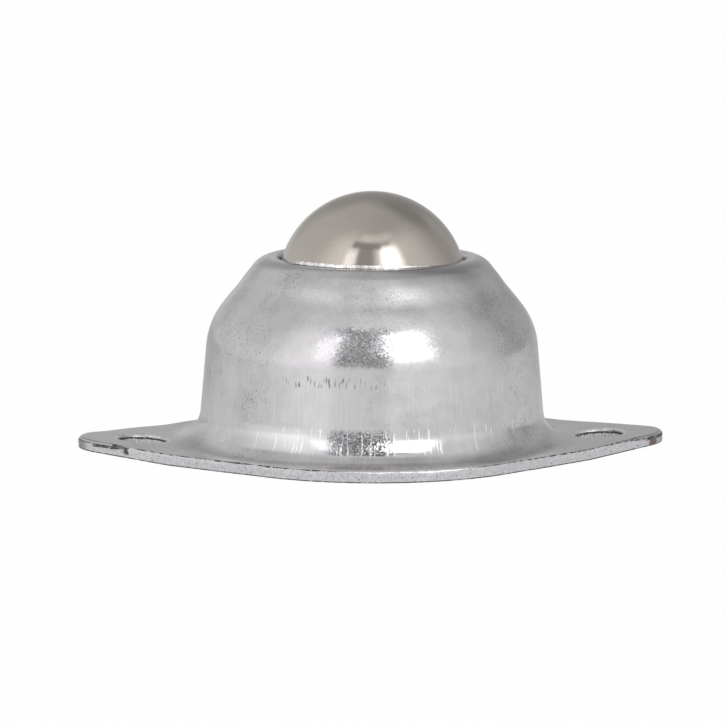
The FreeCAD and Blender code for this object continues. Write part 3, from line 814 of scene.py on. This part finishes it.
def cut_profile(roll):
    """Rows of inset in millimetres, depth as a share of the sheet, and share of the tear."""
    turns = [math.pi / 2 * step / ROLL_STEPS for step in range(ROLL_STEPS + 1)]
    return [
        *[(roll * (1 - math.sin(turn)), roll * (1 - math.cos(turn)) / SHEET, ROLL_TORN) for turn in turns],
        *CUT_ROWS,
    ]


def torn(point, depth, share):
    """How far the tear bites in at a point of the edge. It never stands out past the cut."""
    place = Vector((point.x, point.y, depth * SHEET * TEAR_FLATTENED)) / TEAR_SIZE
    return TEAR_DEPTH * share * max(0, 0.5 + 0.5 * noise.fractal(place, *TEAR_FRACTAL))


edge_depths = [depth for inset, depth, share in cut_profile(EDGE_ROLL)]
last_row = len(edge_depths) - 1
print("rows of the cut edge:", len(edge_depths))

# %% rows of the flange
ROLL_SPREAD = 0.9
ROLL_PATCH = 2.3
TIP_ROLL = 0.45
TIP_FROM, TIP_FULLY = 33.0, 35.5
LAND_ROWS = (0, 0.12, 0.25, 0.4, 0.55, 0.7, 0.85, 0.95, 1)


def spoke_angle(step):
    return math.tau * step / ROUND_SEGMENTS


def edge_row(step, row):
    """A point of the outer edge: the cut profile's row, in this direction from the axis."""
    point, facing = outline(spoke_angle(step))
    at_tip = min(1, max(0, (abs(point.x) - TIP_FROM) / (TIP_FULLY - TIP_FROM)))
    roll = EDGE_ROLL * (1 + ROLL_SPREAD * noise.noise(point.to_3d() / ROLL_PATCH)) + TIP_ROLL * at_tip
    inset, depth, share = cut_profile(roll)[row]
    return sheet_point(point - facing * (inset + torn(point, depth, share)), depth)


def land_row(step, depth):
    """A point of the join, where the round dome ends and the flange begins."""
    angle = spoke_angle(step)
    return sheet_point(Vector((math.cos(angle), math.sin(angle))) * JOIN_RADIUS, depth)


def blend(first, second, share, depth):
    return sheet_point(first.lerp(second, share).xy, depth)


def spoke(step, depth, row, shares):
    """Points from the join out to the edge, in one direction from the axis."""
    return [blend(land_row(step, depth), edge_row(step, row), share, depth) for share in shares]


print("the front of the edge lies at", [round(value, 2) for value in edge_row(ROUND_SEGMENTS * 3 // 4, 0)])

# %% [markdown]
# ## The flange in rings
# The cut edge is one closed band. Between the arms, faces run from the join straight out to the edge, above
# and below. Each arm is a ring of its own: its inner rim is the hole and its outer rim follows the arm's
# border, so the faces flow round the hole as the metal does.

# %% the edge, and the land between the arms
FACE, EDGE, BORE, LIP = range(4)
ARM_SEGMENTS = 30

flange = bmesh.new()
cut_depth = flange.verts.layers.float.new("cut_depth")
half_turn = ROUND_SEGMENTS // 2


def loft(rows, closed, slot, depths):
    """Faces between rows of points, from each row to the next. Each row knows how deep in the cut it lies."""
    rows = [[flange.verts.new(point * MM) for point in row] for row in rows]
    for row, depth in zip(rows, depths):
        for vert in row:
            vert[cut_depth] = depth
    for row, after in zip(rows, rows[1:]):
        for place in range(len(row) if closed else len(row) - 1):
            following = (place + 1) % len(row)
            face = flange.faces.new((row[place], row[following], after[following], after[place]))
            face.material_index = slot
            face.smooth = True


loft([
    [edge_row(step, row) for step in range(ROUND_SEGMENTS)] for row in range(last_row + 1)
], True, EDGE, edge_depths)
for depth, row in ((0, 0), (1, last_row)):
    for first in (ARM_SEGMENTS, half_turn + ARM_SEGMENTS):
        steps = range(first, first + half_turn - 2 * ARM_SEGMENTS + 1)
        spokes = [spoke(step, depth, row, LAND_ROWS) for step in steps]
        loft(zip(*spokes), False, FACE, [depth] * len(LAND_ROWS))
print("faces of the edge and the land:", len(flange.faces))

# %% the arms and their holes
HOLE_RADIUS = bolt_holes["dims"]["hole_r_mm"]
HOLE_OFFSET = bolt_holes["dims"]["spacing_x_mm"] / 2
HOLE_ROLL = 0.45
ARM_ROWS = (0, 0.03, 0.12, 0.25, 0.4, 0.55, 0.7, 0.85, 0.95, 1)


def arm_rim(middle, depth, row):
    """The closed rim of an arm: along the outer edge, in along one spoke, along the foot and out again."""
    right, left = middle - ARM_SEGMENTS, middle + ARM_SEGMENTS
    return [
        *[edge_row(step, row) for step in range(right, left)],
        *spoke(left, depth, row, LAND_ROWS[:0:-1]),
        *[land_row(step, depth) for step in range(left, right, -1)],
        *spoke(right, depth, row, LAND_ROWS[:-1]),
    ]


def bore_row(hole, directions, inset, depth, share):
    """A ring of the punched hole, torn only between its two faces."""
    between_faces = 4 * depth * (1 - depth)
    return [
        sheet_point(hole + way * (HOLE_RADIUS + inset + torn(way, depth, share * between_faces)), depth)
        for way in directions
    ]


for middle in (0, half_turn):
    hole = Vector((HOLE_OFFSET * math.cos(spoke_angle(middle)), 0))
    directions = [(point.xy - hole).normalized() for point in arm_rim(middle, 0, 0)]
    profile = cut_profile(HOLE_ROLL)
    bore = [bore_row(hole, directions, *row) for row in profile]
    loft(bore, True, BORE, [depth for inset, depth, share in profile])
    for depth, row in ((0, 0), (1, last_row)):
        rim = arm_rim(middle, depth, row)
        loft([
            [blend(inner, outer, share, depth) for inner, outer in zip(bore[row], rim)] for share in ARM_ROWS
        ], True, FACE, [depth] * len(ARM_ROWS))
print("flange faces:", len(flange.faces))

# %% [markdown]
# ## The torn lip
# The crown was closed over the ball in a last press stroke, and the cut lip stands up from it as a burr, high
# along the front and almost gone elsewhere, with a ragged top. The section holds it at its full height, so
# here its points are only lowered. Then dome and flange, which meet point for point at the join, are welded
# into the one sheet that they are.

# %% helpers for the lip and for a finished piece
BURR_LEAST = 0.03
BURR_RAGGED = 0.38
RAG_SIZE = 0.45


def burr_share(point):
    """How much of its full height the burr keeps in the direction of this point."""
    turn = math.degrees(math.atan2(point.x, -point.y))
    starts, full, fades, ends = BURR_TURN
    rise = min(1, max(0, (turn - starts) / (full - starts)))
    fall = min(1, max(0, (ends - turn) / (ends - fades)))
    ragged = 1 - BURR_RAGGED * (0.5 + 0.5 * noise.noise(Vector((point.x, point.y, 0)) / RAG_SIZE))
    return ragged * (BURR_LEAST + (1 - BURR_LEAST) * min(rise, fall))


def finished_piece(name, mesh, materials, body, nodes):
    """A piece at the origin that rides on its body and stands for its solids."""
    for material in materials[len(mesh.materials):]:
        mesh.materials.append(material)
    piece = bpy.data.objects.new(name, mesh)
    bpy.context.scene.collection.objects.link(piece)
    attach(piece, body)
    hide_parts(*nodes)
    print(name, "has", len(mesh.polygons), "faces and rides on", body)


print("the burr keeps", round(burr_share(Vector((0, -LIP_RADIUS, 0))), 2), "of its height at the front")

# %% dome and flange joined as one sheet
WELD = 0.0005
TORN_FROM = 0.1
ROLL_DEPTH = 0.06

flange.from_mesh(dome_mesh)
bmesh.ops.remove_doubles(flange, verts=flange.verts, dist=WELD * MM)
bmesh.ops.recalc_face_normals(flange, faces=flange.faces)
for vert in flange.verts:
    if vert.co.z > LIP_HEIGHT * MM and vert.co.xy.length < (LIP_RADIUS + BURR_FOOT) * MM:
        vert.co.z = (LIP_HEIGHT + (vert.co.z / MM - LIP_HEIGHT) * burr_share(vert.co / MM)) * MM
for face in flange.faces:
    middle = face.calc_center_median() / MM
    in_roll = max(vert[cut_depth] for vert in face.verts) < ROLL_DEPTH
    if middle.z > LIP_HEIGHT + TORN_FROM and middle.xy.length < LIP_RADIUS + BURR_FOOT:
        face.material_index = LIP
    if face.material_index == EDGE and abs(middle.x) > TIP_FULLY and in_roll:
        face.material_index = FACE
print("open edges:", sum(not edge.is_manifold for edge in flange.edges))
print(f"steel in the sheet: {flange.calc_volume(signed=True) / MM ** 3:.0f} cubic millimetres")
sheet_mesh = bpy.data.meshes.new("pressed_housing")
flange.to_mesh(sheet_mesh)
flange.free()
finished_piece("pressed_housing", sheet_mesh, [zinc_sheet, edge_zinc, bore_zinc, lip_zinc], "shell",
               ["housing"])

# %% [markdown]
# ## The load ball
# A ball could be a UV sphere, but its poles pinch the mirror finish just where the light falls. A cube whose
# faces are divided and blown up to one radius has no poles, so its reflections stay even all over.

# %% the load ball
BALL_DIVISIONS = 72


def blown_cube_tree():
    tree, keys, given = new_tree("blown_cube", radius="Float", height="Float", divisions="Int")
    cube = add(tree, "GeometryNodeMeshCube", {
        "Vertices X": given["divisions"], "Vertices Y": given["divisions"],
        "Vertices Z": given["divisions"]})["Mesh"]
    place = add(tree, "GeometryNodeInputPosition")[0]
    direction = add(tree, "VectorMath", [place], operation="NORMALIZE")[0]
    centre = add(tree, "CombineXYZ", {"Z": given["height"]})[0]
    surface = add(tree, "VectorMath", {0: direction, "Scale": given["radius"]}, operation="SCALE")[0]
    raised = add(tree, "VectorMath", [surface, centre], operation="ADD")[0]
    blown = add(tree, "GeometryNodeSetPosition", {"Geometry": cube, "Position": raised})[0]
    end_tree(tree, given, blown)
    return tree, keys


ball_mesh = grow("load_ball_polished", bpy.data.meshes.new("ball_seed"), *blown_cube_tree(), [{
    "radius": BALL_RADIUS * MM, "height": BALL_HEIGHT * MM, "divisions": BALL_DIVISIONS,
    "material": ball_steel}])
finished_piece("load_ball_polished", ball_mesh, [ball_steel], "ball", ["load_ball"])

# %% [markdown]
# ## The bearing bed
# Under the load ball lie rings of small balls. They repeat, so a tree makes one ring from a count, a radius
# and a height, and the object runs it once for each ring. The rings are read from the solids in the frame.

# %% the bed of bearing balls
SMALL_BALL_DIVISIONS = 4


def ball_ring_tree():
    tree, keys, given = new_tree(
        "ring_of_balls", count="Int", ring_radius="Float", ring_height="Float", ball_radius="Float")
    ring = add(tree, "GeometryNodeMeshCircle", {
        "Vertices": given["count"], "Radius": given["ring_radius"]})[0]
    lift = add(tree, "CombineXYZ", {"Z": given["ring_height"]})[0]
    raised = add(tree, "GeometryNodeSetPosition", {"Geometry": ring, "Offset": lift})[0]
    small_ball = add(tree, "GeometryNodeMeshIcoSphere", {
        "Radius": given["ball_radius"], "Subdivisions": SMALL_BALL_DIVISIONS})["Mesh"]
    placed = add(tree, "GeometryNodeInstanceOnPoints", {"Points": raised, "Instance": small_ball})[0]
    joined = add(tree, "GeometryNodeJoinGeometry", [given["Geometry"]])[0]
    tree.links.new(placed, joined.node.inputs[0])
    end_tree(tree, given, joined)
    return tree, keys


bed_nodes = sorted(name for name in frame["nodes"] if name.startswith("bearing_ball"))
rings = {}
for name in bed_nodes:
    low, high = box_mm(name)
    middle = (low + high) / 2
    rings.setdefault(round(middle.z, 2), []).append(middle.xy.length)
bed_low, bed_high = box_mm(bed_nodes[0])
bed_ball_radius = (bed_high.z - bed_low.z) / 2
bed_mesh = grow("bearing_balls", bpy.data.meshes.new("bed_seed"), *ball_ring_tree(), [{
    "count": len(reaches), "ring_radius": reaches[0] * MM, "ring_height": height * MM,
    "ball_radius": bed_ball_radius * MM, "material": bed_steel} for height, reaches in rings.items()])
finished_piece("bearing_balls", bed_mesh, [bed_steel], "bearing_bed", bed_nodes)
print("balls in the rings, by height:", {height: len(reaches) for height, reaches in rings.items()})

# %% [markdown]
# ## The bowl
# The hardened bowl that the small balls run in is a turned piece, so the tree of the dome turns it too. Its
# section is two arcs about the ball's centre, a flat foot that stands on the pan, and a rim.

# %% the bowl
DRAIN_RADIUS = 2.5
BOWL_WALL = 1.2
BOWL_FOOT = 5.5
BOWL_FOOT_DEPTH = 0.4

bowl_low, bowl_high = box_mm("bearing_cup")
bowl_outer = BALL_HEIGHT - bowl_low.z - BOWL_FOOT_DEPTH
bowl_inner = bowl_outer - BOWL_WALL


def bowl_arc(radius, first, last):
    """Points round the bowl's section, between two angles from straight down."""
    count = math.ceil(abs(last - first) / COARSE_TURN)
    angles = [first + (last - first) * place / count for place in range(count + 1)]
    return [Vector((radius * math.sin(a), BALL_HEIGHT - radius * math.cos(a))) for a in angles]


rim_reach, rim_top = bowl_high.x, bowl_high.z
rim_under = rim_top - BOWL_WALL
bowl_section = [
    Vector((DRAIN_RADIUS, bowl_low.z)), Vector((BOWL_FOOT, bowl_low.z)),
    *bowl_arc(bowl_outer, math.asin(BOWL_FOOT / bowl_outer),
              math.acos((BALL_HEIGHT - rim_under) / bowl_outer)),
    Vector((rim_reach, rim_under)), Vector((rim_reach, rim_top)),
    *bowl_arc(bowl_inner, math.acos((BALL_HEIGHT - rim_top) / bowl_inner),
              math.asin(DRAIN_RADIUS / bowl_inner)),
]
bowl_mesh = spin("hardened_bowl", bowl_section, True, bowl_steel)
finished_piece("hardened_bowl", bowl_mesh, [bowl_steel], "shell", ["bearing_cup"])

# %% [markdown]
# ## The pan
# A pressed pan carries the bowl and closes the dome's mouth from below. It is a sheet again, so its inside is
# its outside moved in, and its cut rims are only broken a little. It has a drain hole in the middle.

# %% the pan
PAN_SHEET = 1.4
PAN_BEND = 1.5
PAN_FIT = 0.05
SMALL_ROUND = 0.25

pan_top = box_mm("base_cover")[1].z
pan_reach = WALL_RADIUS - PAN_FIT
pan_rim = pan_reach - pan_top * math.tan(WALL_DRAFT)
pan_outside = [Vector((DRAIN_RADIUS, 0)), Vector((pan_reach, 0)), Vector((pan_rim, pan_top))]
pan_inside = moved_aside(pan_outside, -PAN_SHEET)
pan_inside[-1] = Vector((pan_rim - PAN_SHEET / math.cos(WALL_DRAFT), pan_top))
start = (pan_outside[0] + pan_outside[1]) / 2
pan_section = rounded_path(
    [start, *pan_outside[1:], *reversed(pan_inside), pan_outside[0], start],
    [PAN_BEND + PAN_SHEET, SMALL_ROUND, SMALL_ROUND, PAN_BEND, SMALL_ROUND, SMALL_ROUND],
    COARSE_RUN, FINE_TURN)
pan_mesh = spin("closing_pan", pan_section[:-1], True, zinc_sheet, SHEET_WANDER)
finished_piece("closing_pan", pan_mesh, [zinc_sheet], "shell", ["base_cover"])

# %% [markdown]
# ## White paper
# The part stands on white paper. Paper that is lit until it is white would burn out the metal, so the paper
# shows itself white to the eye and paler than it is to mirrors, and still takes a soft shadow. Metal that
# looks backwards sees it dimmer, because less light falls there. From below the paper is clear, to show the
# underside.

# %% white paper
WHITE_TO_EYE = 0.98
SHARE_IN_METAL = 0.5
FULL_TURN = 360.0
PAPER_BEHIND = (95, 150, 210, 250)
DIM_PAPER, LIT_PAPER = 0.5, 1.0

paper, tree = new_material("white_paper")
rays = add(tree, "LightPath")
place = add(tree, "TexCoord")["Object"]
turn = turn_of(add(tree, "SeparateXYZ", [place]))
full_turn = add(tree, "Math", [turn, 0.0, FULL_TURN], operation="WRAP")[0]
at = {"eye": rays["Is Camera Ray"], "full_turn": full_turn}
level = layered(at, LIT_PAPER, [(DIM_PAPER, {"full_turn": PAPER_BEHIND}), (1.0, {"eye": True})])
in_mirror = rays["Is Glossy Ray"], rays["Is Transmission Ray"]
mirrored = add(tree, "Math", in_mirror, operation="MAXIMUM")[0]
shown = add(tree, "Math", [mirrored, SHARE_IN_METAL], operation="MULTIPLY")[0]
shown = add(tree, "Math", [rays["Is Camera Ray"], WHITE_TO_EYE, shown], operation="MULTIPLY_ADD")[0]
matt = add(tree, "BsdfDiffuse", {"Color": linear("#E2E2E2")})[0]
white = add(tree, "Emission", {"Color": linear("#FFFFFF"), "Strength": level})[0]
lit = add(tree, "MixShader", {"Fac": shown, 1: matt, 2: white})[0]
under = add(tree, "NewGeometry")["Backfacing"]
clear = add(tree, "BsdfTransparent")[0]
one_sided = add(tree, "MixShader", {"Fac": under, 1: lit, 2: clear})[0]
add(tree, "OutputMaterial", {"Surface": one_sided})
print("made", paper.name, "with", len(tree.nodes), "nodes")

# %% the floor
FLOOR_HALF = 2000
FLOOR_GAP = 0.2

floor_mesh = bpy.data.meshes.new("floor")
reach, drop = FLOOR_HALF * MM, -FLOOR_GAP * MM
corners = [(-reach, -reach, drop), (reach, -reach, drop), (reach, reach, drop), (-reach, reach, drop)]
floor_mesh.from_pydata(corners, [], [(0, 1, 2, 3)])
floor_mesh.materials.append(paper)
floor = bpy.data.objects.new("floor", floor_mesh)
bpy.context.scene.collection.objects.link(floor)
print("floor", 2 * FLOOR_HALF, "mm wide")

# %% [markdown]
# ## The room
# Polished metal shows the room more than it shows light, and lamps would only add hard spots to it. So the
# world itself is the studio, drawn by turn and by rise above the horizon: walls that are paler at the left, a
# dimmer back, soft glows, two soft boxes either side of the camera, and dark places. The eye sees plain white
# instead.

# %% lights and dark places of the room
LEFT_LEVEL, RIGHT_LEVEL = 0.8, 0.47
SIDE_REACH = 0.95
BACK_SHARE = 0.68
BACK = {"full_turn": (136, 156, 190, 222), "rise": (4, 16, 36, 60)}
LIGHTS = {
    "glow of the front": (0.42, {"turn": (-98, -48, 55, 125), "rise": (-30, -10, 48, 78)}),
    "far edge of the paper": (0.1, {"turn": (-150, -100, 78, 105), "rise": (-14, -2, 6, 24)}),
    "top of the front": (0.22, {"turn": (-38, -26, 34, 60), "rise": (60, 65, 68, 75)}),
    "right soft box": (1.9, {"turn": (3, 13, 29, 47), "rise": (5, 20, 47, 60)}),
    "left soft box": (0.64, {"turn": (-50, -43, -36, -27), "rise": (5, 20, 42, 52)}),
}
DARK_PLACES = {
    "between the boxes": (0.48, {"turn": (-31, -26, -7, 3), "rise": (10, 16, 54, 61)}),
    "bar across": (0.42, {"turn": (-46, -41, 9, 15), "rise": (50, 53, 58, 62)}),
    "right arm of the bar": (0.6, {"turn": (5, 12, 26, 36), "rise": (54, 56, 59, 61)}),
    "foot": (0.45, {"turn": (-34, -30, 4, 9), "rise": (1, 5, 18, 26)}),
    "low behind": (0.46, {"turn": (140, 155, 168, 175), "rise": (-6, -1, 14, 22)}),
    "high behind": (0.36, {"turn": (100, 135, 150, 185), "rise": (26, 42, 50, 70)}),
}
print("lights:", ", ".join(LIGHTS))
print("dark places:", ", ".join(DARK_PLACES))

# %% the room
world = bpy.data.worlds.new("studio_room")
world.use_nodes = True
tree = world.node_tree
tree.nodes.clear()
axes = add(tree, "SeparateXYZ", [add(tree, "TexCoord")["Generated"]])
turn = turn_of(axes)
full_turn = add(tree, "Math", [turn, 0.0, FULL_TURN], operation="WRAP")[0]
rise = add(tree, "Math", [axes["Z"]], operation="ARCSINE")[0]
rise = add(tree, "Math", [rise], operation="DEGREES")[0]
to_eye = add(tree, "LightPath")["Is Camera Ray"]
at = {"turn": turn, "full_turn": full_turn, "rise": rise, "eye": to_eye}

walls = add(tree, "MapRange", {
    "Value": axes["X"], "From Min": -SIDE_REACH, "From Max": SIDE_REACH,
    "To Min": LEFT_LEVEL, "To Max": RIGHT_LEVEL})[0]
dimmed = add(tree, "Math", [walls, BACK_SHARE], operation="MULTIPLY")[0]
level = layered(at, walls, [(dimmed, BACK)])
for strength, limits in LIGHTS.values():
    level = add(tree, "Math", [within(at, limits), strength, level], operation="MULTIPLY_ADD")[0]
level = layered(at, level, [*DARK_PLACES.values(), (1.0, {"eye": True})])
room = add(tree, "Background", {"Color": linear("#FFFFFF"), "Strength": level})[0]
add(tree, "OutputWorld", {"Surface": room})
bpy.context.scene.world = world
bpy.context.scene.view_settings.view_transform = "Standard"
print("made", world.name, "with", len(tree.nodes), "nodes")
